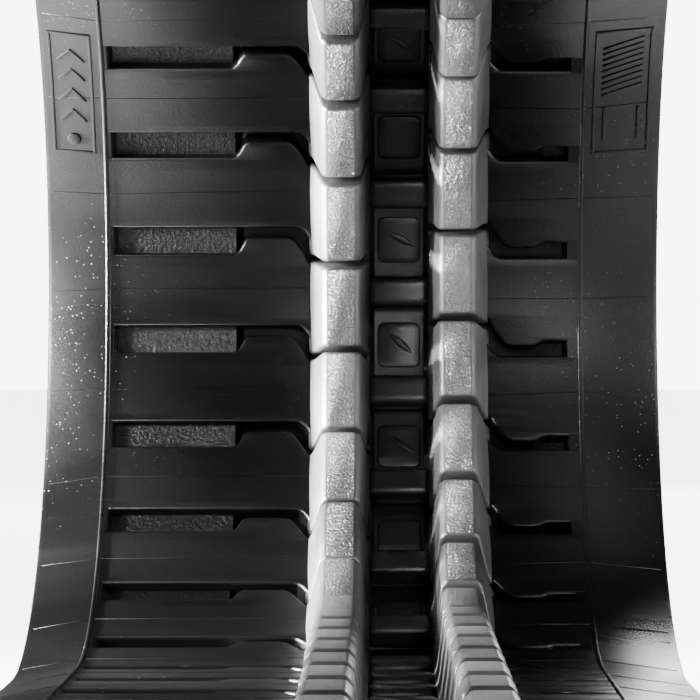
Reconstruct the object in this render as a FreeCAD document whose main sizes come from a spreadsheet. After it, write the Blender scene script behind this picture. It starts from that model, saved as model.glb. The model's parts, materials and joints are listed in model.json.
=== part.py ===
"""Endless rubber track, 300 mm wide, 52.5 mm pitch, 80 links, for a compact excavator.

The belt is a loop of five layers: a moulded guide rubber on the inside, forged core bars
(one to a link), two belts of steel cords, a woven bias ply, and a tread rubber on the outside.
The core bars make the belt stiff across and rigid along each link, so it only bends between
links.  The guide lugs sit to the right of the belt's centre: the track is an offset one.

The loop stands on its tread.  Row frame: X across the belt, Y along the ground run, Z up, with
the origin on the ground under the middle of the loop.  Every link is drawn in its own frame:
x across, y along the belt from the link's middle, z towards the inside of the loop, with z = 0
on the steel cords, where the belt neither stretches nor shrinks as it bends.

The loop is cut into rigid bodies, three for the runs and three for each end, that meet at flex
lines between links.  Opposite bodies are half-turn copies of each other, so the loop stays
closed when opposite bodies turn by the same angle.
"""

import FreeCAD, Part
import math
import os

import Sketcher
from FreeCAD import Placement, Rotation, Vector

OUT = "parts"

# Driving dimensions, in millimetres and degrees.  The spreadsheet's cells hold these numbers.
DIMENSIONS = {
    "belt_width": 300.0,
    "link_pitch": 52.5,
    "guide_centre": 22.9,        # middle of the two lug rows, right of the belt's middle
    "land_top": 15.0,            # roller face above the cords
    "edge_top": 10.0,            # belt edge above the cords: the margins slope down to it
    "groove_floor": 7.0,         # bottom of the grooves between lands
    "pocket_floor": 1.0,         # bottom of the sprocket pockets
    "lug_top": 42.0,             # top of the guide lugs above the cords
    "crease_left": -120.0,
    "crease_right": 112.0,
    "panel_left": -117.0,
    "panel_right": 104.6,
    "pocket_half": 12.0,
    "pocket_mouth_half": 14.6,
    "cord_diameter": 4.0,
    "cord_spacing": 7.5,
    "cord_room": 4.2,            # height of the slot that the cords lie in
    "cords_left_start": -108.0,
    "cords_left_count": 15.0,
    "cords_right_start": 44.0,
    "cords_right_count": 8.0,
    "ply_thickness": 1.1,
    "ply_width": 284.0,
    "carcass_bottom": -8.0,
    "tread_bottom": -28.0,
    "layer_gap": 0.05,
    "flex_inset": 1.0,           # each body stops this far short of a flex line
    "core_gap": 0.1,             # bonding film between core bar and rubber
}

# Each end of the loop is a half circle of eleven links.
END_LINKS = 11
END_BEND = 180.0 / END_LINKS

# The loop's bodies in order round it: name, links, degrees of bend a link, body it copies.
BODIES = [
    ("bottom_run", 29, 0.0, None),
    ("front_bend_1", 4, END_BEND, None),
    ("front_bend_2", 3, END_BEND, None),
    ("front_bend_3", 4, END_BEND, None),
    ("top_run_front", 15, 0.0, None),
    ("top_run_rear", 14, 0.0, None),
    ("rear_bend_1", 4, END_BEND, "front_bend_1"),
    ("rear_bend_2", 3, END_BEND, "front_bend_2"),
    ("rear_bend_3", 4, END_BEND, "front_bend_3"),
]

SHEET = "dims"

doc = FreeCAD.newDocument("rubber_track")
sheet = doc.addObject("Spreadsheet::Sheet", SHEET)


def fill_sheet():
    """Writes each driving dimension to its own cell, with its name as the alias."""
    for row, (name, value) in enumerate(DIMENSIONS.items(), start=1):
        sheet.set(f"A{row}", name)
        sheet.set(f"B{row}", str(value))
        sheet.setAlias(f"B{row}", name)
    doc.recompute()


def dim(name):
    """A driving dimension, read from the sheet."""
    return float(sheet.get(name))


def bend_radius(bend):
    """Radius of the cord line where each link turns by bend degrees."""
    return dim("link_pitch") / math.radians(bend)


class Size:
    """A size that keeps its number together with the sheet expression that gives it."""

    def __init__(self, text, value):
        self.text = text
        self.value = value

    def __neg__(self):
        return Size(f"(0 - {self.text})", -self.value)

    def __add__(self, other):
        other = as_size(other)
        return Size(f"({self.text} + {other.text})", self.value + other.value)

    def __sub__(self, other):
        return self + -as_size(other)

    def __mul__(self, other):
        other = as_size(other)
        return Size(f"({self.text} * {other.text})", self.value * other.value)

    def __truediv__(self, other):
        other = as_size(other)
        return Size(f"({self.text} / {other.text})", self.value / other.value)


def as_size(value):
    """The value as a size; a plain number becomes an expression of its own."""
    return value if isinstance(value, Size) else Size(f"({float(value)!r})", float(value))


def size(name):
    """A driving dimension as a size bound to its cell in the sheet."""
    return Size(f"{SHEET}.{name}", DIMENSIONS[name])


# ---------------------------------------------------------------- cross-section bodies


def profile_sketch(body, points, drop):
    """A closed outline on the body's XZ plane; every corner is held by two sheet-driven sizes.

    points are (across, height) sizes.  The outline is drawn drop below the sketch's origin, and
    the sketch is raised by drop, so that a revolution can turn it about the origin's X axis.
    """
    plane = next(f for f in body.Origin.OriginFeatures if f.Role == "XZ_Plane")
    sketch = body.newObject("Sketcher::SketchObject", body.Name + "_profile")
    sketch.AttachmentSupport = [(plane, "")]
    sketch.MapMode = "FlatFace"
    sketch.setExpression("AttachmentOffset.Base.y", drop.text)
    corners = [(x, z - drop) for x, z in points]
    count = len(corners)
    for i in range(count):
        start, end = (Vector(x.value, z.value, 0) for x, z in (corners[i], corners[(i + 1) % count]))
        sketch.addGeometry(Part.LineSegment(start, end), False)
    for i in range(count):
        sketch.addConstraint(Sketcher.Constraint("Coincident", i, 2, (i + 1) % count, 1))
    for i, (x, z) in enumerate(corners):
        for kind, place in (("DistanceX", x), ("DistanceY", z)):
            index = sketch.addConstraint(Sketcher.Constraint(kind, -1, 1, i, 1, place.value))
            sketch.setExpression(f"Constraints[{index}]", place.text)
    return sketch


def belt_layer(name, points, links, bend):
    """One layer of a body: the outline padded along a straight run, or turned round a bend."""
    body = doc.addObject("PartDesign::Body", name)
    if bend:
        sketch = profile_sketch(body, points, size("link_pitch") / math.radians(bend))
        solid = body.newObject("PartDesign::Revolution", name + "_turn")
        solid.Profile = sketch
        solid.ReferenceAxis = (sketch, ["H_Axis"])
        inset = math.degrees(dim("flex_inset") / bend_radius(bend))
        solid.Angle = links * bend - 2 * inset
        body.Placement = turn_about(bend_radius(bend), inset)
    else:
        sketch = profile_sketch(body, points, as_size(0))
        solid = body.newObject("PartDesign::Pad", name + "_pad")
        solid.Profile = sketch
        solid.Reversed = True
        length = size("link_pitch") * links - size("flex_inset") * 2
        solid.setExpression("Length", length.text)
        body.Placement = Placement(Vector(0, dim("flex_inset"), 0), Rotation())
    doc.recompute()
    return body.Shape.copy()


def turn_about(radius, degrees):
    """The placement that turns a body by degrees about its bend's axis, radius above its start."""
    angle = math.radians(degrees)
    return Placement(
        Vector(0, radius * math.sin(angle), radius * (1 - math.cos(angle))),
        Rotation(Vector(1, 0, 0), degrees),
    )


HALF_WIDTH = size("belt_width") / 2
HALF_SLOT = size("cord_room") / 2


def cord_slot(side):
    """Corners of the slot that the left or right belt of cords lies in, from right to left."""
    start, spacing = size(f"cords_{side}_start"), size("cord_spacing")
    left = start - spacing / 2
    right = left + spacing * size(f"cords_{side}_count")
    return [(right, -HALF_SLOT), (right, HALF_SLOT), (left, HALF_SLOT), (left, -HALF_SLOT)]


WEB_OUTLINE = [
    (-HALF_WIDTH, -HALF_SLOT),
    (-HALF_WIDTH, size("edge_top")),
    (size("crease_left"), size("land_top")),
    (size("panel_left"), size("land_top")),
    (size("panel_left"), size("groove_floor")),
    (size("guide_centre") - size("pocket_mouth_half"), size("groove_floor")),
    (size("guide_centre") - size("pocket_half"), size("pocket_floor")),
    (size("guide_centre") + size("pocket_half"), size("pocket_floor")),
    (size("guide_centre") + size("pocket_mouth_half"), size("groove_floor")),
    (size("panel_right"), size("groove_floor")),
    (size("panel_right"), size("land_top")),
    (size("crease_right"), size("land_top")),
    (HALF_WIDTH, size("edge_top")),
    (HALF_WIDTH, -HALF_SLOT),
    *cord_slot("right"),
    *cord_slot("left"),
]

HALF_PLY = size("ply_width") / 2
PLY_TOP = -HALF_SLOT - size("layer_gap")
PLY_BOTTOM = PLY_TOP - size("ply_thickness")
PLY_OUTLINE = [
    (-HALF_PLY, PLY_BOTTOM),
    (-HALF_PLY, PLY_TOP),
    (HALF_PLY, PLY_TOP),
    (HALF_PLY, PLY_BOTTOM),
]

PLY_ROOM = HALF_PLY + size("layer_gap")
TREAD_TOP = PLY_BOTTOM - size("layer_gap")
TREAD_OUTLINE = [
    (-HALF_WIDTH + 4, size("carcass_bottom")),
    (-HALF_WIDTH, size("carcass_bottom") + 3),
    (-HALF_WIDTH, PLY_TOP),
    (-PLY_ROOM, PLY_TOP),
    (-PLY_ROOM, TREAD_TOP),
    (PLY_ROOM, TREAD_TOP),
    (PLY_ROOM, PLY_TOP),
    (HALF_WIDTH, PLY_TOP),
    (HALF_WIDTH, size("carcass_bottom") + 3),
    (HALF_WIDTH - 4, size("carcass_bottom")),
]

# ---------------------------------------------------------------- pieces of one link

HALF_PITCH = DIMENSIONS["link_pitch"] / 2
LUG_SHIFT = 7.9          # the left lug sits this far behind the link's middle, the right one ahead
LUG_BASE_HALF = 23.0     # half the lug's length along the belt, at the land
LUG_TOP_HALF = 19.3
LUG_ROOT_DEPTH = 2.0     # the lug's root is sunk this far into the land
LAND_ROOT_DEPTH = 1.0    # the land's root into the web; in a bend its corners go 2 mm deeper
GROOVE_SHIFT = 6.0       # the left groove sits this far ahead of the flex line, the right behind
GROOVE_HALF = 3.5        # half the groove's width beside the lugs, with the belt straight
RECESS_WIDTH = 16.0      # the groove's width outside the roller path


def prism(corners, low, high):
    """A straight-sided block with the given plan, from height low to height high."""
    points = [Vector(x, y, low) for x, y in corners]
    face = Part.Face(Part.makePolygon([*points, points[0]]))
    return face.extrude(Vector(0, 0, high - low))


def frustum(low_rect, high_rect, low, high):
    """A four-sided block; each rectangle is (middle x, middle y, half x, half y)."""
    wires = []
    for (mx, my, hx, hy), z in ((low_rect, low), (high_rect, high)):
        corners = [(mx - hx, my - hy), (mx + hx, my - hy), (mx + hx, my + hy), (mx - hx, my + hy)]
        points = [Vector(x, y, z) for x, y in corners]
        wires.append(Part.makePolygon([*points, points[0]]))
    return Part.makeLoft(wires, True, True)


LAND_OUTER = DIMENSIONS["panel_left"] - 1.0   # sunk into the margin beside the panel
LAND_STEP = (-61.0, -53.5)                    # the left land's front edge steps between these


def land_plan():
    """Plan of the left land: straight along its rear edge, stepped forward by the roller path.

    The step narrows the groove to the next land where the rollers cross it.  Beside the lug
    both edges curve back to the gap between lugs.
    """
    centre = dim("guide_centre")
    rear = -HALF_PITCH + GROOVE_SHIFT + GROOVE_HALF
    front_path = HALF_PITCH + GROOVE_SHIFT - GROOVE_HALF
    front_recess = rear + 2 * HALF_PITCH - RECESS_WIDTH
    lug_rear = -LUG_SHIFT - LUG_BASE_HALF
    lug_front = -LUG_SHIFT + LUG_BASE_HALF
    inner = centre - dim("pocket_mouth_half")
    step_start, step_end = LAND_STEP
    return [
        (LAND_OUTER, rear), (-35, rear), (-27, rear - 5), (-21, lug_rear), (inner, lug_rear),
        (inner, lug_front), (-21, lug_front), (-27, lug_front + 7), (-35, front_path),
        (step_end, front_path), (step_start, front_recess), (LAND_OUTER, front_recess),
    ]


def half_turned(plan, step_shift, outer):
    """The plan turned half round the link's middle, with its outer parts drawn in.

    The right land is shorter than the left one: its outer edge lies at outer, and its step lies
    step_shift nearer to the lugs.
    """
    centre = dim("guide_centre")
    turned = []
    for x, y in plan:
        across = 2 * centre - x
        if x == LAND_OUTER:
            across = outer
        elif x in LAND_STEP:
            across -= step_shift
        turned.append((across, -y))
    return turned


def bridge():
    """The rounded bar between the lugs that the sprocket teeth push on, in rubber."""
    centre = dim("guide_centre")
    half_width = dim("pocket_mouth_half") + 1.5
    profile = [(-9, 0.0), (-9, 9.5), (-5, 15.5), (5, 15.5), (9, 9.5), (9, 0.0)]
    points = [Vector(centre - half_width, y, z) for y, z in profile]
    face = Part.Face(Part.makePolygon([*points, points[0]]))
    return face.extrude(Vector(2 * half_width, 0, 0))


def lug(side):
    """A guide lug in rubber, tapered on all four sides; side is -1 for left, 1 for right."""
    centre = dim("guide_centre")
    root = dim("land_top") - LUG_ROOT_DEPTH
    middle = side * LUG_SHIFT
    return frustum(
        (centre + side * 29.2, middle, 15.2, LUG_BASE_HALF + 0.3),
        (centre + side * 28.0, middle, 8.8, LUG_TOP_HALF),
        root,
        dim("lug_top"),
    )


def link_rubber():
    """All the guide rubber that one link adds to the web: two lands, two lugs and a bridge."""
    left = land_plan()
    right = half_turned(left, 7.0, dim("panel_right") + 1)
    bottom = dim("groove_floor") - LAND_ROOT_DEPTH
    top = dim("land_top")
    pieces = [prism(right, bottom, top), bridge(), lug(-1), lug(1)]
    return prism(left, bottom, top).multiFuse(pieces).removeSplitter()


def core_bar(grow):
    """One forged core bar: two wings, a bar across the sprocket's path and two horns.

    grow adds a film all round, for the room that the bar takes in the rubber.
    """
    centre = dim("guide_centre")
    wing_low, wing_high = 3.4 - grow, 11.0 + grow
    left_wing = [
        (-110 - grow, -5 - grow), (-24, -11 - grow), (centre, -11 - grow),
        (centre, 12 + grow), (-24, 12 + grow), (-110 - grow, 11 + grow),
    ]
    right_wing = [
        (centre, -12 - grow), (70, -12 - grow), (98 + grow, -10 - grow),
        (98 + grow, 5 + grow), (70, 11 + grow), (centre, 11 + grow),
    ]
    slim = 6.5 + grow
    neck = prism(
        [(centre - 20, -slim), (centre + 20, -slim), (centre + 20, slim), (centre - 20, slim)],
        wing_low, wing_high,
    )
    gap = prism(
        [(centre - 16 + grow, -30), (centre + 16 - grow, -30),
         (centre + 16 - grow, 30), (centre - 16 + grow, 30)],
        -20, 60,
    )
    horns = [
        frustum(
            (centre + side * 29.2, side * LUG_SHIFT, 10.5 + grow, 16.5 + grow),
            (centre + side * 28.0, side * LUG_SHIFT, 5.5 + grow, 14.5 + grow),
            wing_low + 2,
            dim("lug_top") - 3.0 + grow,
        )
        for side in (-1, 1)
    ]
    wings = prism(left_wing, wing_low, wing_high).fuse(prism(right_wing, wing_low, wing_high))
    return wings.cut(gap).multiFuse([neck, *horns]).removeSplitter()


def tread_block(side):
    """One ground lug, on the left (-1) or right (1) of the belt, with tapered sides.

    It is short along the belt, so that it stays off the ground where the belt starts to bend.
    """
    outer = dim("belt_width") / 2 - 4
    inner = -24.0
    root_half = 17.5
    plan = [
        (inner, -6), (inner + 18, -root_half), (outer - 28, -root_half), (outer, -11),
        (outer, 11), (outer - 28, root_half), (inner + 32, root_half), (inner, 6),
    ]
    middle = (outer + inner) / 2
    wires = []
    for shrink_x, shrink_y, z in (
        (1.0, 1.0, dim("carcass_bottom") + 3),
        (0.95, 0.83, dim("tread_bottom")),
    ):
        points = [
            Vector(side * (middle + (x - middle) * shrink_x), side * y * shrink_y, z)
            for x, y in plan
        ]
        wires.append(Part.makePolygon([*points, points[0]]))
    return Part.makeLoft(wires, True, True)


# ---------------------------------------------------------------- layers of one body


def link_places(links, bend):
    """The placement of each link's own frame in its body's frame."""
    pitch = dim("link_pitch")
    if not bend:
        return [Placement(Vector(0, (i + 0.5) * pitch, 0), Rotation()) for i in range(links)]
    return [turn_about(bend_radius(bend), (i + 0.5) * bend) for i in range(links)]


def placed(shape, placement):
    """A copy of a link piece in its body's frame."""
    copy = shape.copy()
    copy.Placement = placement
    return copy


def body_end(links, bend):
    """The placement of the body's last flex line in its own frame."""
    if bend:
        return turn_about(bend_radius(bend), links * bend)
    return Placement(Vector(0, links * dim("link_pitch"), 0), Rotation())


def end_trims(links, bend):
    """Blocks that clear the body's overhanging lands and lugs off its two neighbours' webs."""
    inset = dim("flex_inset")
    width, length, depth = dim("belt_width") + 40, 60.0, 60.0
    height = depth + dim("groove_floor") + 1.5
    behind = Part.makeBox(width, length, height, Vector(-width / 2, inset - length, -depth))
    ahead = Part.makeBox(width, length, height, Vector(-width / 2, -inset, -depth))
    return behind, placed(ahead, body_end(links, bend))


def guide_rubber(name, links, bend):
    """The inside rubber: the web with each link's lands, lugs and bridge, less the core bars."""
    web = belt_layer(f"web_{name}", WEB_OUTLINE, links, bend)
    places = link_places(links, bend)
    additions = [placed(LINK_RUBBER, place) for place in places]
    behind, ahead = end_trims(links, bend)
    additions[0] = additions[0].cut(behind)
    additions[-1] = additions[-1].cut(ahead)
    rooms = [placed(CORE_ROOM, place) for place in places]
    return web.multiFuse(additions).cut(rooms)


def tread_rubber(name, links, bend, first):
    """The outside rubber: a base the width of the belt, and a ground lug under each link.

    The lugs lie left and right by turns; first is the number of the body's first link.
    """
    base = belt_layer(f"tread_base_{name}", TREAD_OUTLINE, links, bend)
    blocks = []
    for index, place in enumerate(link_places(links, bend)):
        side = -1 if (first + index) % 2 == 0 else 1
        blocks.append(placed(TREAD_BLOCKS[side], place))
    return base.multiFuse(blocks)


def bias_ply(name, links, bend):
    """The woven ply between the cords and the tread."""
    return belt_layer(f"ply_{name}", PLY_OUTLINE, links, bend)


def core_bars(links, bend):
    """The body's core bars, one to a link, each a separate solid."""
    return Part.makeCompound([placed(CORE_BAR, place) for place in link_places(links, bend)])


def cord(x, links, bend):
    """One cord at x across the belt, straight or turned round a bend."""
    radius, inset = dim("cord_diameter") / 2, dim("flex_inset")
    if not bend:
        length = links * dim("link_pitch") - 2 * inset
        return Part.makeCylinder(radius, length, Vector(x, inset, 0), Vector(0, 1, 0))
    turn = bend_radius(bend)
    inset_angle = math.degrees(inset / turn)
    face = Part.Face(Part.Wire(Part.makeCircle(radius, Vector(x, 0, 0), Vector(0, 1, 0))))
    solid = face.revolve(Vector(0, 0, turn), Vector(1, 0, 0), links * bend - 2 * inset_angle)
    solid.rotate(Vector(0, 0, turn), Vector(1, 0, 0), inset_angle)
    return solid


def steel_cords(links, bend):
    """The body's share of the two cord belts, each cord a separate round solid."""
    return Part.makeCompound([
        cord(dim(f"cords_{side}_start") + index * dim("cord_spacing"), links, bend)
        for side in ("left", "right")
        for index in range(int(dim(f"cords_{side}_count")))
    ])


# ---------------------------------------------------------------- the loop


def body_frames():
    """Each body's frame: where its first flex line lies in the row frame, and how it is turned."""
    frames = {}
    spot = Placement()
    for name, links, bend, _ in BODIES:
        frames[name] = spot
        spot = spot.multiply(body_end(links, bend))
    # The two ends are half-turn copies, so the loop's middle is midway between their starts.
    middle = (frames["front_bend_1"].Base + frames["rear_bend_1"].Base) * 0.5
    shift = Vector(0, -middle.y, -dim("tread_bottom"))
    for name in frames:
        frames[name].Base = frames[name].Base + shift
    closing = spot.Base + shift - frames["bottom_run"].Base
    if closing.Length > 1e-6:
        raise RuntimeError(f"the loop doesn't close: {closing}")
    return frames


def add_node(label, shape, placement):
    """One sub-part of the track, in its place in the loop."""
    node = doc.addObject("Part::Feature", label)
    node.Label = label
    node.Shape = shape
    node.Placement = placement
    return node


def build_nodes():
    """Every body's five layers.  A body that copies another takes the same shapes."""
    frames = body_frames()
    made, nodes, first = {}, [], 0
    for name, links, bend, copied in BODIES:
        if copied:
            layers = made[copied]
        else:
            layers = {
                "guide_rubber": guide_rubber(name, links, bend),
                "core_bars": core_bars(links, bend),
                "steel_cords": steel_cords(links, bend),
                "bias_ply": bias_ply(name, links, bend),
                "tread_rubber": tread_rubber(name, links, bend, first),
            }
            made[name] = layers
        for layer, shape in layers.items():
            place = frames[name].multiply(shape.Placement)
            nodes.append(add_node(f"{layer}_{name}", shape.copy(), place))
        first += links
    return nodes


def check_and_write(nodes):
    """Stops on any failed object or bad shape, then writes each sub-part's STEP file."""
    doc.recompute()
    for item in doc.Objects:
        if {"Invalid", "Error"} & set(item.State):
            raise RuntimeError(f"{item.Label} failed: {item.State}")
    os.makedirs(OUT, exist_ok=True)
    for node in nodes:
        shape = node.Shape
        if shape.isNull() or not shape.isValid() or not shape.Solids:
            raise RuntimeError(f"{node.Label} has no valid shape")
        shape.exportStep(os.path.join(OUT, node.Label + ".step"))
        print(f"{node.Label}: {len(shape.Solids)} solids, {shape.Volume / 1e3:.0f} cm3")


fill_sheet()
LINK_RUBBER = link_rubber()
CORE_BAR = core_bar(0.0)
CORE_ROOM = core_bar(DIMENSIONS["core_gap"])
TREAD_BLOCKS = {side: tread_block(side) for side in (-1, 1)}
check_and_write(build_nodes())
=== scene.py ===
"""Looks of an endless rubber track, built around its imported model.

The track's rubber is modelled flat, in millimetres, one link at a time: x across the belt, y
along it from the link's middle, z towards the inside of the loop from the cord line.  Each link
is then copied round the loop.  The carcass bends smoothly with the belt; guide lugs and ground
lugs are stiff, so each of them keeps its link's own tangent.
"""
import json
import logging
import math
import random
from dataclasses import dataclass, field
from enum import Enum
from typing import Callable, Iterable, Sequence

import bpy
import numpy as np
from mathutils import Euler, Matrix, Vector


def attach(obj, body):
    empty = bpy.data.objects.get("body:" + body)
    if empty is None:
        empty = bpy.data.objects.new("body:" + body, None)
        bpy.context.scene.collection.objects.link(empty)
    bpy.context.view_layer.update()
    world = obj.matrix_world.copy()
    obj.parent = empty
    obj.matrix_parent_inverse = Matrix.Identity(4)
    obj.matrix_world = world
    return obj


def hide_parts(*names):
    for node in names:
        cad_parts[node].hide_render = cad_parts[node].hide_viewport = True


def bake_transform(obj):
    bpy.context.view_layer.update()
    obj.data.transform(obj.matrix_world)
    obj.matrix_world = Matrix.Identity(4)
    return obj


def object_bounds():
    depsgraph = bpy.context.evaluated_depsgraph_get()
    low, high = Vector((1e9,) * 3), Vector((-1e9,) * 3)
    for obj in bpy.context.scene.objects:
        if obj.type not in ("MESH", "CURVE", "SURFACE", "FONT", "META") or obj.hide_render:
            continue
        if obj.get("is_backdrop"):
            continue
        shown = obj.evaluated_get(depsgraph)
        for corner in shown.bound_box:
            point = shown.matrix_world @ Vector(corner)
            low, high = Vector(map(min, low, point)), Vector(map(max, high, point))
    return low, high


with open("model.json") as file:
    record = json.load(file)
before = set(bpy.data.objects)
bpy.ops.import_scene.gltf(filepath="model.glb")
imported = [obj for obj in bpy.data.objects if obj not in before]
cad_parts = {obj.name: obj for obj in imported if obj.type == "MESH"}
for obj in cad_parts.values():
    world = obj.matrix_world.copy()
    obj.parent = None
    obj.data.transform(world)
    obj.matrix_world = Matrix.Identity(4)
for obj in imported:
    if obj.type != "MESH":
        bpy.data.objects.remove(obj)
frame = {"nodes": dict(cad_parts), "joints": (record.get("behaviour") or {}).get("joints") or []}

LOG = logging.getLogger("track")
MM = 0.001
BENT_CUTS = 10  # cuts to a link where the belt bends
STIFF_CUTS = 2
CARCASS_SHADE = 35.0  # edges flatter than this many degrees look smooth
LUG_SHADE = 40.0
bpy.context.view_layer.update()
Piece = bpy.types.Object
Socket = bpy.types.NodeSocket
Material = bpy.types.Material
Point = tuple[float, float]
Lay = Callable[[np.ndarray, float], np.ndarray]


class Side(Enum):
    """Which lug row a piece belongs to; the value is the sign of x."""

    LEFT = -1
    RIGHT = 1


# ------------------------------------------------------------------ the loop's path


@dataclass(frozen=True)
class Belt:
    """The cord line of the loop: two straight runs and two round ends, in millimetres."""

    run_links: int = 29
    end_links: int = 11

    def __post_init__(self) -> None:
        """Reads the loop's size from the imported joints."""
        pivots = {joint["name"]: joint["pos_m"] for joint in frame["joints"]}
        _, half_run, low = (value / MM for value in pivots["front_flex_1"])
        high = pivots["front_flex_4"][2] / MM
        object.__setattr__(self, "half_run", half_run)
        object.__setattr__(self, "radius", (high - low) / 2)
        object.__setattr__(self, "middle_z", (high + low) / 2)
        object.__setattr__(self, "pitch", 2 * half_run / self.run_links)

    @property
    def links(self) -> int:
        """Number of links round the loop."""
        return 2 * (self.run_links + self.end_links)

    @property
    def length(self) -> float:
        """Length of the cord line round the loop."""
        return self.links * self.pitch

    @property
    def apex(self) -> float:
        """Distance along the cord line of the front end's foremost point."""
        return (self.run_links + self.end_links / 2) * self.pitch

    def spot(self, travel: np.ndarray) -> tuple[np.ndarray, np.ndarray, np.ndarray]:
        """Where points of the cord line are.

        Args:
            travel: distances along the cord line from the start of the bottom run.

        Returns:
            The y and z of each point, and the belt's turn there in radians.
        """
        run, end = self.run_links * self.pitch, self.end_links * self.pitch
        travel = np.mod(travel, self.length)
        second = travel >= run + end
        travel = np.where(second, travel - run - end, travel)
        turn = np.clip((travel - run) / self.radius, 0.0, math.pi)
        y = np.minimum(travel, run) - self.half_run + self.radius * np.sin(turn)
        z = -self.radius * np.cos(turn)
        flip = np.where(second, -1.0, 1.0)
        return y * flip, z * flip + self.middle_z, turn + np.where(second, math.pi, 0.0)

    def smooth(self, points: np.ndarray, start: float) -> np.ndarray:
        """Flat points laid on the loop, bent with the belt.

        Args:
            points: x, y and z of each flat point.
            start: distance along the cord line of the flat points' y = 0.

        Returns:
            The points in the row frame, in metres.
        """
        y, z, turn = self.spot(points[:, 1] + start)
        rise = points[:, 2]
        laid = np.stack([points[:, 0], y - rise * np.sin(turn), z + rise * np.cos(turn)], axis=1)
        return laid * MM

    def stiff(self, points: np.ndarray, start: float) -> np.ndarray:
        """Flat points laid on the loop without bending, along the tangent at start."""
        y, z, turn = (float(value) for value in self.spot(np.array(start)))
        along, rise = points[:, 1], points[:, 2]
        laid = np.stack(
            [
                points[:, 0],
                y + along * math.cos(turn) - rise * math.sin(turn),
                z + along * math.sin(turn) + rise * math.cos(turn),
            ],
            axis=1,
        )
        return laid * MM


BELT = Belt()


@dataclass(frozen=True)
class Stretch:
    """Some links in a row that make one carcass piece, on one body or across one joint."""

    name: str
    first: int
    count: int
    bodies: tuple[str, ...]
    hinge_link: int = 0


def stretches() -> list[Stretch]:
    """The carcass pieces round the loop, each ending where the belt is stiff."""
    bend = [(-1, 3), (2, 4), (6, 3), (9, 3)]  # first link, from the end's start, and count
    hinges = [0, 4, 7, 11]  # links from the end's start to each joint
    front = ["bottom_run", "front_bend_1", "front_bend_2", "front_bend_3", "top_run_front"]
    rear = ["top_run_rear", "rear_bend_1", "rear_bend_2", "rear_bend_3", "bottom_run"]
    found = [
        Stretch("bottom_run", 1, 27, ("bottom_run",)),
        Stretch("top_run_front", 41, 14, ("top_run_front",)),
        Stretch("top_run_rear", 55, 13, ("top_run_rear",)),
    ]
    for name, names, base in (("front", front, 29), ("rear", rear, 69)):
        for number, ((first, count), hinge) in enumerate(zip(bend, hinges)):
            pair = (names[number], names[number + 1])
            found.append(Stretch(f"{name}_flex_{number + 1}", base + first, count, pair, base + hinge))
    return found


def body_links() -> dict[str, range]:
    """The links that each body holds."""
    counts = [("bottom_run", 29)]
    counts += [(f"front_bend_{i}", n) for i, n in enumerate((4, 3, 4), start=1)]
    counts += [("top_run_front", 15), ("top_run_rear", 14)]
    counts += [(f"rear_bend_{i}", n) for i, n in enumerate((4, 3, 4), start=1)]
    found, first = {}, 0
    for name, count in counts:
        found[name] = range(first, first + count)
        first += count
    return found


# ------------------------------------------------------------------ modelling by hand


def alone(piece: Piece) -> None:
    """Selects only this piece and makes it active."""
    bpy.ops.object.select_all(action="DESELECT")
    piece.select_set(True)
    bpy.context.view_layer.objects.active = piece


def open_mesh() -> None:
    """Enters edit mode with everything selected."""
    bpy.ops.object.mode_set(mode="EDIT")
    bpy.ops.mesh.select_all(action="SELECT")


def close_mesh() -> None:
    """Leaves edit mode."""
    bpy.ops.object.mode_set(mode="OBJECT")


def choose_none(kind: str) -> None:
    """Clears the choice of faces or edges, and leaves edit mode so that a new one can be made."""
    bpy.ops.object.mode_set(mode="EDIT")
    bpy.ops.mesh.select_mode(type=kind)
    bpy.ops.mesh.select_all(action="DESELECT")
    close_mesh()


def polygon(corners: Sequence[Sequence[float]]) -> Piece:
    """A new one-faced piece with these corners."""
    bpy.ops.object.select_all(action="DESELECT")
    bpy.ops.mesh.primitive_circle_add(vertices=len(corners), radius=1.0, fill_type="NGON")
    piece = bpy.context.object
    for vertex, corner in zip(piece.data.vertices, corners):
        vertex.co = corner
    return piece


def pick(piece: Piece, wanted: Callable[[Vector, Vector], bool]) -> None:
    """Selects the faces whose middle and normal pass a test, in edit mode.

    Args:
        piece: the mesh object.
        wanted: a test of a face's middle and normal.
    """
    choose_none("FACE")
    for face in piece.data.polygons:
        face.select = wanted(face.center, face.normal)
    bpy.ops.object.mode_set(mode="EDIT")


def pick_edges(piece: Piece, wanted: Callable[[Vector, Vector], bool]) -> None:
    """Selects the edges whose two ends pass a test, in edit mode."""
    choose_none("EDGE")
    places = [vertex.co for vertex in piece.data.vertices]
    for edge in piece.data.edges:
        edge.select = wanted(places[edge.vertices[0]], places[edge.vertices[1]])
    bpy.ops.object.mode_set(mode="EDIT")


def tidy(piece: Piece) -> Piece:
    """Turns the faces outwards and leaves edit mode."""
    alone(piece)
    open_mesh()
    bpy.ops.mesh.normals_make_consistent(inside=False)
    bpy.ops.mesh.select_all(action="DESELECT")
    close_mesh()
    return piece


def plate(outline: Sequence[Point], low: float, high: float, edge: float, segments: int = 3) -> Piece:
    """A flat plate with a rounded top edge.

    Args:
        outline: its corners, as x and y.
        low: height of its underside.
        high: height of its top.
        edge: radius of its top edge.
        segments: steps in that radius.

    Returns:
        The new mesh object.
    """
    piece = polygon([(x, y, low) for x, y in outline])
    open_mesh()
    bpy.ops.mesh.extrude_region_move(TRANSFORM_OT_translate={"value": (0, 0, high - low)})
    bpy.ops.mesh.select_all(action="SELECT")
    bpy.ops.mesh.normals_make_consistent(inside=False)
    if edge:
        pick_edges(piece, lambda a, b: min(a.z, b.z) > high - 0.001)
        bpy.ops.mesh.bevel(offset=edge, segments=segments, affect="EDGES", clamp_overlap=True)
    close_mesh()
    return piece


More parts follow.
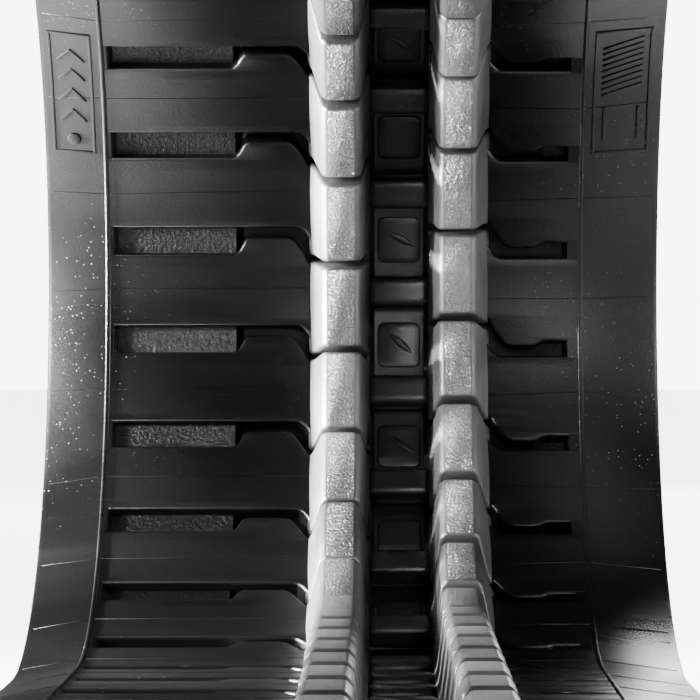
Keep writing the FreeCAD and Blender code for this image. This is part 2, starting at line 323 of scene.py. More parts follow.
def block(size: Sequence[float], middle: Sequence[float], edge: float, segments: int = 3) -> Piece:
    """A box with all its edges rounded."""
    bpy.ops.object.select_all(action="DESELECT")
    bpy.ops.mesh.primitive_cube_add(size=1.0, location=middle)
    piece = bpy.context.object
    piece.scale = size
    bpy.ops.object.transform_apply(location=True, rotation=True, scale=True)
    open_mesh()
    bpy.ops.mesh.bevel(offset=edge, segments=segments, affect="EDGES", clamp_overlap=True)
    close_mesh()
    return piece


def slice_along(piece: Piece, start: float, end: float, step: float) -> None:
    """Cuts the mesh across the belt at even steps, so that it can bend."""
    alone(piece)
    bpy.ops.object.mode_set(mode="EDIT")
    for number in range(1, int(round((end - start) / step))):
        bpy.ops.mesh.select_all(action="SELECT")
        bpy.ops.mesh.bisect(plane_co=(0, start + number * step, 0), plane_no=(0, 1, 0))
    bpy.ops.mesh.select_all(action="DESELECT")
    close_mesh()


def length_of(outline: Sequence[Point], count: int, bent: bool) -> Piece:
    """A cross-section of x and height, drawn out along the belt.

    Args:
        outline: the cross-section's corners.
        count: its length in links.
        bent: whether it is cut finely enough to bend.

    Returns:
        The new object, with y = 0 at its start.
    """
    piece = polygon([(x, 0.0, z) for x, z in outline])
    length = count * BELT.pitch
    open_mesh()
    bpy.ops.mesh.extrude_region_move(TRANSFORM_OT_translate={"value": (0, length, 0)})
    close_mesh()
    slice_along(piece, 0.0, length, BELT.pitch / (BENT_CUTS if bent else STIFF_CUTS))
    return tidy(piece)


def join(pieces: Iterable[Piece], name: str) -> Piece:
    """Joins pieces into the first one and names it."""
    pieces = list(pieces)
    bpy.ops.object.select_all(action="DESELECT")
    for piece in pieces:
        piece.select_set(True)
    bpy.context.view_layer.objects.active = pieces[0]
    if len(pieces) > 1:
        bpy.ops.object.join()
    pieces[0].name = name
    pieces[0].data.name = name
    return pieces[0]


def copy_laid(master: Piece, lay: Lay, start: float) -> Piece:
    """A copy of a flat master, with its own mesh, laid on the loop.

    Args:
        master: the flat piece, in millimetres.
        lay: the belt's way of placing points, bent or stiff.
        start: distance along the cord line of the master's y = 0.

    Returns:
        The new object, in the row frame, in metres.
    """
    piece = master.copy()
    piece.data = master.data.copy()
    bpy.context.scene.collection.objects.link(piece)
    flat = np.zeros(len(piece.data.vertices) * 3)
    piece.data.vertices.foreach_get("co", flat)
    laid = lay(flat.reshape(-1, 3), start)
    piece.data.vertices.foreach_set("co", laid.ravel())
    piece.data.update()
    return piece


def turn_along(piece: Piece, start: Point, end: Point, height: float) -> Piece:
    """Turns and moves a bar made about the origin so that it lies from one place to another."""
    piece.rotation_euler = (0, 0, math.atan2(end[1] - start[1], end[0] - start[0]))
    piece.location = ((start[0] + end[0]) / 2, (start[1] + end[1]) / 2, height)
    alone(piece)
    bpy.ops.object.transform_apply(location=True, rotation=True, scale=True)
    return piece


def discard(*pieces: Piece) -> None:
    """Removes masters once they have been copied."""
    for piece in pieces:
        bpy.data.objects.remove(piece, do_unlink=True)


def smooth_shade(piece: Piece, degrees: float = CARCASS_SHADE) -> None:
    """Shades a piece smooth across edges flatter than an angle."""
    alone(piece)
    bpy.ops.object.shade_smooth_by_angle(angle=math.radians(degrees))


def curve(start: Point, lead: Point, trail: Point, end: Point, steps: int = 6) -> list[Point]:
    """Points of a Bezier curve, without its start."""
    found = []
    for number in range(1, steps + 1):
        f = number / steps
        g = 1 - f
        weights = (g**3, 3 * g * g * f, 3 * g * f * f, f**3)
        corners = (start, lead, trail, end)
        found.append(tuple(sum(w * c[axis] for w, c in zip(weights, corners)) for axis in (0, 1)))
    return found


# ------------------------------------------------------------------ finishes


class Nodes:
    """A short way to write a node tree."""

    def __init__(self, tree: bpy.types.NodeTree) -> None:
        """Keeps the tree."""
        self.tree = tree

    def add(self, kind: str, inputs: dict | None = None, **settings: object) -> bpy.types.Node:
        """Adds a node.

        Args:
            kind: the node's Blender type.
            inputs: values or sockets by input name.
            settings: properties of the node.

        Returns:
            The new node.
        """
        node = self.tree.nodes.new(kind)
        for name, value in settings.items():
            setattr(node, name, value)
        for name, value in (inputs or {}).items():
            if isinstance(value, Socket):
                self.tree.links.new(value, node.inputs[name])
            else:
                node.inputs[name].default_value = value
        return node

    def ramp(self, value: Socket, low: float, high: float) -> Socket:
        """A value stretched from low..high to 0..1 and clamped."""
        node = self.add("ShaderNodeMapRange", {"Value": value, "From Min": low, "From Max": high})
        return node.outputs["Result"]

    def link(self, source: Socket, target: Socket) -> None:
        """Joins two sockets."""
        self.tree.links.new(source, target)

    def mix(self, factor: Socket, low: object, high: object) -> Socket:
        """A colour between two, either of which may be a socket or three numbers."""
        node = self.add("ShaderNodeMix", data_type="RGBA")
        for socket, value in zip((node.inputs[6], node.inputs[7]), (low, high)):
            if isinstance(value, Socket):
                self.link(value, socket)
            else:
                socket.default_value = (*value, 1)
        self.link(factor, node.inputs[0])
        return node.outputs[2]

    def math(self, kind: str, first: object, second: object) -> Socket:
        """One sum of two values."""
        node = self.tree.nodes.new("ShaderNodeMath")
        node.operation = kind
        for socket, value in zip(node.inputs, (first, second)):
            if isinstance(value, Socket):
                self.tree.links.new(value, socket)
            else:
                socket.default_value = value
        return node.outputs[0]


GroupParts = tuple[bpy.types.NodeTree, Nodes, bpy.types.Node, bpy.types.Node]


def group_with(name: str, inputs: dict[str, float], output: str) -> GroupParts:
    """An empty shader group with named value inputs and one value output."""
    tree = bpy.data.node_groups.new(name, "ShaderNodeTree")
    tree.interface.new_socket(name="Place", in_out="INPUT", socket_type="NodeSocketVector")
    for label, value in inputs.items():
        socket = tree.interface.new_socket(name=label, in_out="INPUT", socket_type="NodeSocketFloat")
        socket.default_value = value
    tree.interface.new_socket(name=output, in_out="OUTPUT", socket_type="NodeSocketFloat")
    nodes = Nodes(tree)
    return tree, nodes, nodes.add("NodeGroupInput"), nodes.add("NodeGroupOutput")


def grain_group() -> bpy.types.NodeTree:
    """The fine skin that a mould leaves on rubber: a height."""
    tree, nodes, given, put = group_with("mould_grain", {"Scale": 900.0, "Coarse": 0.3}, "Height")
    place, scale = given.outputs["Place"], given.outputs["Scale"]
    wider = nodes.math("MULTIPLY", scale, 0.12)
    fine = nodes.add(
        "ShaderNodeTexNoise", {"Vector": place, "Scale": scale, "Detail": 5.0, "Roughness": 0.65}
    )
    wide = nodes.add("ShaderNodeTexNoise", {"Vector": place, "Scale": wider, "Detail": 3.0})
    rough = nodes.math("MULTIPLY", wide.outputs[0], given.outputs["Coarse"])
    nodes.link(nodes.math("ADD", fine.outputs[0], rough), put.inputs["Height"])
    return tree


def speck_group() -> bpy.types.NodeTree:
    """Scattered specks of dust and dried drops: a mask."""
    tree, nodes, given, put = group_with("specks", {"Scale": 260.0, "Amount": 0.5}, "Mask")
    place = given.outputs["Place"]
    scale = given.outputs["Scale"]
    cells = nodes.add("ShaderNodeTexVoronoi", {"Vector": place, "Scale": scale, "Randomness": 1.0})
    patches = nodes.add("ShaderNodeTexNoise", {"Vector": place, "Scale": 9.0, "Detail": 4.0})
    size = nodes.math("MULTIPLY", nodes.ramp(patches.outputs[0], 0.42, 0.75), given.outputs["Amount"])
    dots = nodes.math("LESS_THAN", cells.outputs["Distance"], nodes.math("MULTIPLY", size, 0.3))
    nodes.link(dots, put.inputs["Mask"])
    return tree


def patch_group() -> bpy.types.NodeTree:
    """Slow changes in shine, as of oil that has bloomed or been wiped: a value from 0 to 1."""
    tree, nodes, given, put = group_with("bloom", {"Scale": 14.0, "Low": 0.3, "High": 0.7}, "Value")
    place = given.outputs["Place"]
    stretched = nodes.add("ShaderNodeMapping", {"Vector": place, "Scale": (0.45, 1.0, 1.0)})
    noise = nodes.add(
        "ShaderNodeTexNoise",
        {"Vector": stretched.outputs[0], "Scale": given.outputs["Scale"], "Detail": 6.0, "Distortion": 0.6},
    )
    value = nodes.add(
        "ShaderNodeMapRange",
        {"Value": noise.outputs[0], "From Min": given.outputs["Low"], "From Max": given.outputs["High"]},
    )
    nodes.link(value.outputs["Result"], put.inputs["Value"])
    return tree


GROUPS: dict[str, bpy.types.NodeTree] = {}


def principled(name: str) -> tuple[Material, Nodes, bpy.types.Node]:
    """A new material, its nodes and its shader."""
    material = bpy.data.materials.new(name)
    material.use_nodes = True
    nodes = Nodes(material.node_tree)
    return material, nodes, next(n for n in nodes.tree.nodes if n.type == "BSDF_PRINCIPLED")


@dataclass(frozen=True)
class RubberFinish:
    """A black rubber skin."""

    name: str
    dark: tuple[float, float, float] = (0.0007, 0.0007, 0.0008)
    bloomed: tuple[float, float, float] = (0.002, 0.002, 0.0021)
    speck: tuple[float, float, float] = (0.3, 0.3, 0.29)
    rough_low: float = 0.22
    rough_high: float = 0.36
    grain_scale: float = 900.0
    grain_depth: float = 0.00012
    coarse: float = 0.3
    speck_scale: float = 420.0
    speck_amount: float = 0.4
    specular: float = 0.28

    def build(self) -> Material:
        """Makes the material."""
        material, nodes, shader = principled(self.name)
        shader.inputs["Specular IOR Level"].default_value = self.specular
        place = nodes.add("ShaderNodeTexCoord").outputs["Object"]
        grain = self.use(nodes, "grain", place, Scale=self.grain_scale, Coarse=self.coarse)
        specks = self.use(nodes, "specks", place, Scale=self.speck_scale, Amount=self.speck_amount)
        bloom = self.use(nodes, "bloom", place)
        # Base colour: dust specks over the rubber's tone; in the lug and pocket finishes that tone is painted
        # light.
        dust_and_painted_light = nodes.mix(specks, nodes.mix(bloom, self.dark, self.bloomed), self.speck)
        nodes.link(dust_and_painted_light, shader.inputs["Base Color"])
        rough = nodes.add(
            "ShaderNodeMapRange", {"Value": bloom, "To Min": self.rough_low, "To Max": self.rough_high}
        )
        nodes.link(rough.outputs["Result"], shader.inputs["Roughness"])
        bump = nodes.add("ShaderNodeBump", {"Height": grain, "Distance": self.grain_depth, "Strength": 1.0})
        nodes.link(bump.outputs[0], shader.inputs["Normal"])
        return material

    @staticmethod
    def use(nodes: Nodes, group: str, place: Socket, **values: float) -> Socket:
        """Places a shared group in the tree and gives its output."""
        node = nodes.add("ShaderNodeGroup", node_tree=GROUPS[group])
        nodes.link(place, node.inputs["Place"])
        for name, value in values.items():
            node.inputs[name].default_value = value
        return node.outputs[0]


@dataclass(frozen=True)
class HiddenFinish:
    """A finish of the pieces inside the rubber: steel or woven cord."""

    name: str
    low: tuple[float, float, float]
    high: tuple[float, float, float]
    metallic: float
    rough_low: float
    rough_high: float
    scale: float

    def build(self) -> Material:
        """Makes the material."""
        material, nodes, shader = principled(self.name)
        shader.inputs["Metallic"].default_value = self.metallic
        place = nodes.add("ShaderNodeTexCoord").outputs["Object"]
        noise = nodes.add("ShaderNodeTexNoise", {"Vector": place, "Scale": self.scale, "Detail": 6.0})
        nodes.link(nodes.mix(noise.outputs[0], self.low, self.high), shader.inputs["Base Color"])
        rough = nodes.add(
            "ShaderNodeMapRange",
            {"Value": noise.outputs[0], "To Min": self.rough_low, "To Max": self.rough_high},
        )
        nodes.link(rough.outputs["Result"], shader.inputs["Roughness"])
        bump = nodes.add("ShaderNodeBump", {"Height": noise.outputs[0], "Distance": 0.0004})
        nodes.link(bump.outputs[0], shader.inputs["Normal"])
        return material


PANEL = RubberFinish("guide_panel_rubber")
# Lug tops and lug sides: the same rubber as the panels, painted lighter as painted light, with the tops
# painted lighter than the sides.
LUG_FACE_PAINTED_LIGHT = RubberFinish(
    "lug_face_rubber_painted_light", dark=(0.012, 0.012, 0.012), bloomed=(0.06, 0.06, 0.059), rough_low=0.3,
    rough_high=0.5, grain_scale=760.0, grain_depth=0.0018, coarse=0.9, speck_scale=480.0, speck_amount=0.9,
    specular=0.6,
)
LUG_SIDE_PAINTED_LIGHT = RubberFinish(
    "lug_side_rubber_painted_light", dark=(0.012, 0.012, 0.012), bloomed=(0.045, 0.045, 0.044), rough_low=0.3,
    rough_high=0.52, grain_scale=520.0, grain_depth=0.0003, specular=0.6,
)
RECESS = RubberFinish(
    "recess_rubber", dark=(0.0009, 0.0009, 0.0009), bloomed=(0.0028, 0.0028, 0.0028), rough_low=0.26,
    rough_high=0.42, grain_scale=520.0, grain_depth=0.0009, coarse=0.8,
)
# Pocket floor, pads, bridge bars and flash marks: the same rubber, painted lighter as painted fill light.
POCKET_PAINTED_LIGHT = RubberFinish(
    "pocket_rubber_painted_light", dark=(0.005, 0.005, 0.005), bloomed=(0.016, 0.016, 0.0155), rough_low=0.2,
    rough_high=0.36, specular=0.6,
)
TREAD = RubberFinish(
    "ground_rubber", dark=(0.016, 0.016, 0.016), bloomed=(0.045, 0.0445, 0.044),
    rough_low=0.4, rough_high=0.62, grain_scale=700.0, grain_depth=0.0003, speck_amount=0.6,
)
FORGED = HiddenFinish("forged_steel", (0.1, 0.09, 0.085), (0.3, 0.28, 0.26), 1.0, 0.45, 0.7, 180.0)
BRASSED = HiddenFinish("brassed_cord", (0.42, 0.36, 0.22), (0.6, 0.54, 0.38), 1.0, 0.25, 0.4, 900.0)
WOVEN = HiddenFinish("woven_ply", (0.05, 0.04, 0.03), (0.12, 0.1, 0.08), 0.0, 0.8, 0.95, 1400.0)


def paint(piece: Piece, *materials: Material) -> None:
    """Gives a piece its material slots."""
    piece.data.materials.clear()
    for material in materials:
        piece.data.materials.append(material)


# ------------------------------------------------------------------ the inside of the belt


@dataclass
class GuideCarcass:
    """The inner rubber without its lugs: carcass, lands, bridge bars and margins."""

    centre: float = 22.9
    half_width: float = 150.0
    rim: float = 2.2
    path_half: float = 14.6
    pocket_half: float = 12.0
    pocket_skin: float = 14.0
    cord_cover: float = -2.1
    land: float = 15.0
    edge: float = 10.0
    recess_floor: float = 9.8
    right_floor: float = 6.4
    path_floor: float = 5.0
    pocket_floor: float = 1.0
    groove_shift: float = 5.5
    groove: float = 4.9
    left_recess: float = 13.8
    right_recess: float = 7.8
    lug_shift: float = 7.9
    lug_half: float = 23.0
    badge_rise: float = 74.0
    left_crease: float = 119.8
    right_crease: float = 111.6
    left_shelf: float = 117.4
    right_shelf: float = 105.4
    left_step: float = 77.0
    right_step: float = 67.8
    materials: dict[str, Material] = field(default_factory=dict)

    def margin_drop(self, x: float) -> float:
        """How far the surface beside the crease lies below the lands at x."""
        crease = self.left_crease if x < 0 else self.right_crease
        beyond = max(abs(x) - crease, 0.0)
        return (self.land - self.edge) * beyond / (self.half_width - self.rim - crease)

    def side_profile(self, side: Side) -> list[Point]:
        """One side's outline from the belt's edge to the pocket floor: distance and height."""
        left = side is Side.LEFT
        crease = self.left_crease if left else self.right_crease
        shelf = self.left_shelf if left else self.right_shelf
        step = self.left_step if left else self.right_step
        floor = self.recess_floor if left else self.right_floor
        centre = -side.value * self.centre
        path = step + 3 - centre
        return [
            (self.half_width, self.cord_cover),
            (self.half_width, self.edge - self.rim),
            (self.half_width - 0.6, self.edge - 0.8),
            (self.half_width - self.rim, self.edge),
            (crease + 1.3, self.land - 0.35),
            (crease + 0.8, self.land + 0.3),
            (crease, self.land + 0.55),
            (crease - 0.8, self.land + 0.3),
            (crease - 1.2, self.land - 0.12),
            (shelf, self.land - 0.12),
            (shelf - 1.0, self.land - 1.2),
            (shelf - 2.2, floor),
            (path, floor),
            (path - 3.5, self.path_floor),
            (self.path_half + 1.0 - centre, self.path_floor),
            (self.path_half - centre, self.path_floor),
            (self.pocket_half - centre, self.pocket_floor),
        ]

    def profile(self) -> list[Point]:
        """The carcass's cross-section: x across, and height."""
        left = [(-distance, height) for distance, height in self.side_profile(Side.LEFT)]
        return left + self.side_profile(Side.RIGHT)[::-1]

    def slab(self, count: int, bent: bool) -> Piece:
        """A flat length of carcass, with its skins, and with y = 0 at its start."""
        piece = length_of(self.profile(), count, bent)
        paint(piece, self.materials["panel"], self.materials["recess"], self.materials["pocket"])
        # Faces in the pocket channel take the pocket rubber, painted lighter as painted fill light.
        for face in piece.data.polygons:
            if abs(face.center.x - self.centre) < self.pocket_skin:
                face.material_index = 2
                continue
            in_left = face.center.x < self.centre - self.left_step
            floor = self.recess_floor if in_left else self.right_floor
            wide = in_left or face.center.x > self.centre + self.right_step
            if wide and abs(face.center.z - floor) < 0.1:
                face.material_index = 1
        return piece

    def land_outline(self, side: Side) -> list[Point]:
        """The outline of one land: straight behind, stepped in front, hooked beside the lug."""
        half = BELT.pitch / 2
        left = side is Side.LEFT
        step = self.left_step if left else self.right_step
        recess = self.left_recess if left else self.right_recess
        outer = self.left_crease + self.centre if left else self.right_crease - self.centre
        rear = -half + self.groove_shift + self.groove / 2
        front_path = rear + BELT.pitch - self.groove
        front_recess = rear + BELT.pitch - recess
        lug_rear, lug_front = -self.lug_shift - self.lug_half, -self.lug_shift + self.lug_half
        hook = [(outer, rear), (50.5, rear)]
        hook += curve(hook[-1], (45.5, rear), (43.5, lug_rear + 5.5), (40.5, lug_rear + 0.2))
        inside = self.path_half
        hook += [(inside, lug_rear + 0.2), (inside, lug_front - 0.2), (43.5, lug_front - 0.2)]
        hook += curve(hook[-1], (46.5, lug_front + 3.0), (49.5, front_path), (55.5, front_path))
        hook.append((step - 4.5, front_path))
        lead, trail = (step + 0.5, front_path), (step - 0.5, front_recess)
        hook += curve(hook[-1], lead, trail, (step + 4.5, front_recess))
        hook.append((outer, front_recess))
        if left:
            return [(self.centre - d, t) for d, t in hook]
        return [(self.centre + d, -t) for d, t in hook]

    def bridge(self) -> Piece:
        """The rounded bar that the sprocket's teeth push on, cut in two along its middle."""
        piece = block((31.0, 17.0, 12.0), (self.centre, 0.0, 9.5), 4.2, 4)
        alone(piece)
        open_mesh()
        bpy.ops.mesh.bisect(plane_co=(self.centre, 0, 0), plane_no=(1, 0, 0))
        close_mesh()
        return piece

    def pad(self) -> Piece:
        """The raised floor pad of a pocket."""
        half = BELT.pitch / 2
        x, y, r = 10.4, 11.4, 3.5
        corners = []
        signs = ((1, 1), (-1, 1), (-1, -1), (1, -1))
        for quarter, (sign_x, sign_y) in enumerate(signs):
            cx, cy, turn = sign_x * (x - r), sign_y * (y - r), 90 * quarter
            for number in range(5):
                a = math.radians(turn + number * 22.5)
                corners.append((self.centre + cx + r * math.cos(a), half + cy + r * math.sin(a)))
        return plate(corners, 0.4, 2.6, 0.9, 2)

    def leaf(self, turn: float) -> Piece:
        """The leaf-shaped flash mark on a pad."""
        bpy.ops.object.select_all(action="DESELECT")
        middle = (self.centre + 1.0, BELT.pitch / 2 + 0.5, 2.6)
        bpy.ops.mesh.primitive_uv_sphere_add(segments=16, ring_count=8, radius=1.0)
        piece = bpy.context.object
        for vertex in piece.data.vertices:
            reach = 1.0 - vertex.co.x**2
            vertex.co.y *= math.sqrt(max(reach, 0.0))
        piece.scale = (7.6, 1.9, 0.8)
        piece.rotation_euler = (0.0, 0.0, math.radians(turn))
        piece.location = middle
        bpy.ops.object.transform_apply(location=True, rotation=True, scale=True)
        return piece

    def drape(self, piece: Piece) -> Piece:
        """Lowers a flat piece on to the lands and the sloping margins."""
        for vertex in piece.data.vertices:
            vertex.co.z += self.land - self.margin_drop(vertex.co.x)
        return piece

    def hairline(self, start: Point, end: Point) -> Piece:
        """A thin line of flash that a mould joint leaves."""
        piece = block((math.dist(start, end), 0.5, 0.6), (0, 0, 0), 0.18, 1)
        return self.drape(turn_along(piece, start, end, -0.1))

    def strip(self, start: Point, end: Point, width: float, height: float) -> Piece:
        """A low raised bar on a margin, from one place to another."""
        size = (math.dist(start, end) + width, width, 2 * height)
        piece = block(size, (0, 0, 0), min(width, height) * 0.45, 2)
        return self.drape(turn_along(piece, start, end, 0))

    def badge(self, side: Side) -> Piece:
        """A plain moulded panel on a margin: a frame with a stud and chevrons, or with hatching.

        Its y = 0 lies at its lower end.
        """
        inner, outer, length = (125.5, 145.0, 72.0) if side is Side.LEFT else (117.0, 143.5, 74.0)
        near, far = side.value * inner, side.value * outer
        corners = [(near, 1.5), (far, 1.5), (far, length), (near, length)]
        pieces = [
            self.strip(corners[i], corners[(i + 1) % 4], 1.3, 0.45) for i in range(4)
        ]
        middle = (near + far) / 2
        if side is Side.LEFT:
            turns = [number * math.pi / 8 for number in range(16)]
            ring = [(middle + 3.4 * math.cos(a), 8.5 + 3.4 * math.sin(a)) for a in turns]
            pieces.append(self.drape(plate(ring, -0.8, 0.9, 0.7, 2)))
            for number in range(4):
                low = 19.0 + 12.0 * number
                tip = (middle, low + 6.0)
                pieces.append(self.strip((near - 4.0, low), tip, 1.6, 0.5))
                pieces.append(self.strip((far + 4.0, low), tip, 1.6, 0.5))
        else:
            for number in range(9):
                low = 34.0 + 3.6 * number
                pieces.append(self.strip((near + 4.0, low), (far - 4.0, low + 6.0), 1.1, 0.45))
            pieces.append(self.strip((near + 5.0, 9.0), (near + 5.0, 26.0), 1.4, 0.5))
            pieces.append(self.strip((far - 5.0, 9.0), (far - 5.0, 26.0), 1.4, 0.5))
        for piece in pieces:
            paint(piece, self.materials["panel"], self.materials["recess"])
        whole = join(pieces, f"badge_{side.name.lower()}")
        slice_along(whole, 0.0, length + 2.0, 5.0)
        return tidy(whole)

    def link(self, variant: int) -> Piece:
        """The lands, bridge bar, pocket pad and flash of one link."""
        pieces = [plate(self.land_outline(side), 4.0, self.land, 1.5, 3) for side in Side]
        inner = [self.bridge(), self.pad()]
        if variant != 1:
            inner.append(self.leaf((-35.0, 0.0, -28.0, -42.0)[variant]))
        slope = (1.2, -0.8, 0.6, -1.4)[variant]
        lines = [
            ((-self.left_crease + 1, 1.0 + slope), (-20.0, 2.2)),
            ((self.centre + 43.0, -3.5), (self.right_crease - 1, -3.0 - slope)),
            ((-self.left_crease - 2, 1.0 + slope), (-147.0, 0.4)),
            ((self.right_crease + 2, -3.0 - slope), (147.0, -2.4)),
        ]
        if variant == 2:
            lines.append(((self.right_crease - 12, -14.0), (147.0, -13.4)))
        pieces += [self.hairline(a, b) for a, b in lines]
        skins = self.materials["panel"], self.materials["recess"], self.materials["pocket"]
        for piece in pieces + inner:
            paint(piece, *skins)
        # The bridge bar, pad and flash mark take the pocket rubber, painted lighter as painted fill light.
        for piece in inner:
            for face in piece.data.polygons:
                face.material_index = 2
        whole = join(pieces + inner, f"link_{variant}")
        slice_along(whole, -40.0, 55.0, 95.0 / 18)
        return tidy(whole)

    def build(self) -> list[Piece]:
        """Lays the carcass round the loop, one piece to a stretch."""
        made = []
        masters = [self.link(variant) for variant in range(4)]
        badges = {side: self.badge(side) for side in Side}
        for part in stretches():
            bent = len(part.bodies) > 1
            slab = self.slab(part.count, bent)
            start = part.first * BELT.pitch
            pieces = [copy_laid(slab, BELT.smooth, start)]
            discard(slab)
            for link in range(part.first, part.first + part.count):
                middle = (link + 0.5) * BELT.pitch
                pieces.append(copy_laid(masters[(link * 7) % 4], BELT.smooth, middle))
            if part.name == "front_flex_3":
                badge_start = BELT.apex + self.badge_rise
                pieces += [copy_laid(badge, BELT.smooth, badge_start) for badge in badges.values()]
            piece = join(pieces, f"guide_carcass_{part.name}")
            smooth_shade(piece)
            settle(piece, part)
            made.append(piece)
        discard(*masters, *badges.values())
        return made


def settle(piece: Piece, part: Stretch) -> None:
    """Rides a piece on its body, or, for a piece across a joint, bakes its place into its mesh and leaves it
    on no body.
    """
    if len(part.bodies) == 1:
        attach(piece, part.bodies[0])
        return
    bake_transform(piece)


@dataclass
class GuideLugs:
    """The two rows of guide lugs."""

    centre: float = 22.9
    shift: float = 7.9
    root: float = 13.6
    top: float = 42.0
    inner: float = 20.0
    outer: float = 36.0
    half_top: float = 19.3
    root_offset: float = 29.2
    materials: dict[str, Material] = field(default_factory=dict)

    def lug(self, side: Side, variant: int) -> Piece:
        """One lug: a flared root, sloping sides, a rounded rim and a grainy top."""
        middle = self.centre + side.value * (self.inner + self.outer) / 2
        root_middle = self.centre + side.value * self.root_offset
        bpy.ops.object.select_all(action="DESELECT")
        bpy.ops.mesh.primitive_plane_add(size=1.0)
        piece = bpy.context.object
        rings = [
            (root_middle, 14.9, 23.2, self.root),
            (root_middle, 13.9, 22.6, self.root + 2.2),
            (root_middle + side.value * -0.3, 13.1, 22.2, self.root + 5.0),
            (middle, 9.6, 19.6, self.top - 3.0),
        ]
        x, half_x, half_y, z = rings[0]
        _, last_x, last_y, _ = rings[-1]
        piece.location = (x, side.value * self.shift, z)
        piece.scale = (2 * half_x, 2 * half_y, 1)
        bpy.ops.object.transform_apply(location=True, rotation=False, scale=True)
        open_mesh()
        for before, after in zip(rings, rings[1:]):
            shift = (after[0] - before[0], 0, after[3] - before[3])
            bpy.ops.mesh.extrude_region_move(TRANSFORM_OT_translate={"value": shift})
            bpy.ops.transform.resize(
                value=(after[1] / before[1], after[2] / before[2], 1),
                center_override=(after[0], side.value * self.shift, after[3]),
            )
        bpy.ops.mesh.extrude_region_move(TRANSFORM_OT_translate={"value": (0, 0, 3.0)})
        bpy.ops.transform.resize(
            value=((self.outer - self.inner) / 2 / last_x - 0.09, (self.half_top - 0.6) / last_y, 1),
            center_override=(middle, side.value * self.shift, self.top),
        )
        pick_edges(piece, lambda a, b: abs(a.z - b.z) > 1.0)
        bpy.ops.mesh.bevel(offset=1.7, segments=3, affect="EDGES")
        pick_edges(piece, lambda a, b: min(a.z, b.z) > self.top - 0.01)
        bpy.ops.mesh.bevel(offset=0.8, segments=2, affect="EDGES")
        close_mesh()
        tidy(piece)
        paint(piece, self.materials["side"], self.materials["face"])
        # Sides take rubber painted lighter than the panels and tops lighter still: painted light on the lugs.
        for face in piece.data.polygons:
            face.material_index = 1 if face.normal.z > 0.98 and face.center.z > self.top - 0.1 else 0
        pips = self.pips(middle, side.value * self.shift, variant)
        return join([piece, *pips], f"lug_{side.name}_{variant}")

    def pips(self, middle: float, along: float, variant: int) -> list[Piece]:
        """The small three-sided and round marks on a lug's top."""
        draw = random.Random(40 + variant)
        made = []
        for number in range(2 + variant % 3):
            bpy.ops.object.select_all(action="DESELECT")
            sides = 3 if (number + variant) % 2 else 9
            radius = draw.uniform(1.6, 2.5)
            x = middle + draw.uniform(-2.2, 2.2)
            y = along - 11 + number * 8.5 + draw.uniform(-2, 2)
            bpy.ops.mesh.primitive_cone_add(
                vertices=sides, radius1=radius, radius2=0.4, depth=1.6, location=(x, y, self.top - 0.9)
            )
            pip = bpy.context.object
            pip.rotation_euler = (0, 0, draw.uniform(0, 6.0))
            bpy.ops.object.transform_apply(location=True, rotation=True, scale=True)
            paint(pip, self.materials["side"], self.materials["face"])
            made.append(pip)
        return made

    def build(self) -> list[Piece]:
        """Sets both rows of lugs round the loop, one piece to a body."""
        made = []
        masters = {(side, v): self.lug(side, v) for side in Side for v in range(5)}
        for body, links in body_links().items():
            pieces = []
            for link in links:
                for number, side in enumerate(Side):
                    master = masters[side, (link * 3 + number * 2) % 5]
                    pieces.append(copy_laid(master, BELT.stiff, (link + 0.5) * BELT.pitch))
            piece = join(pieces, f"guide_lugs_{body}")
            smooth_shade(piece, LUG_SHADE)
            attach(piece, body)
            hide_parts(f"guide_rubber_{body}")
            made.append(piece)
        discard(*masters.values())
        return made


# ------------------------------------------------------------------ the outside of the belt


def lug_side(link: int) -> Side:
    """The side that a link's ground lug is on."""
    return Side.RIGHT if link % 2 else Side.LEFT


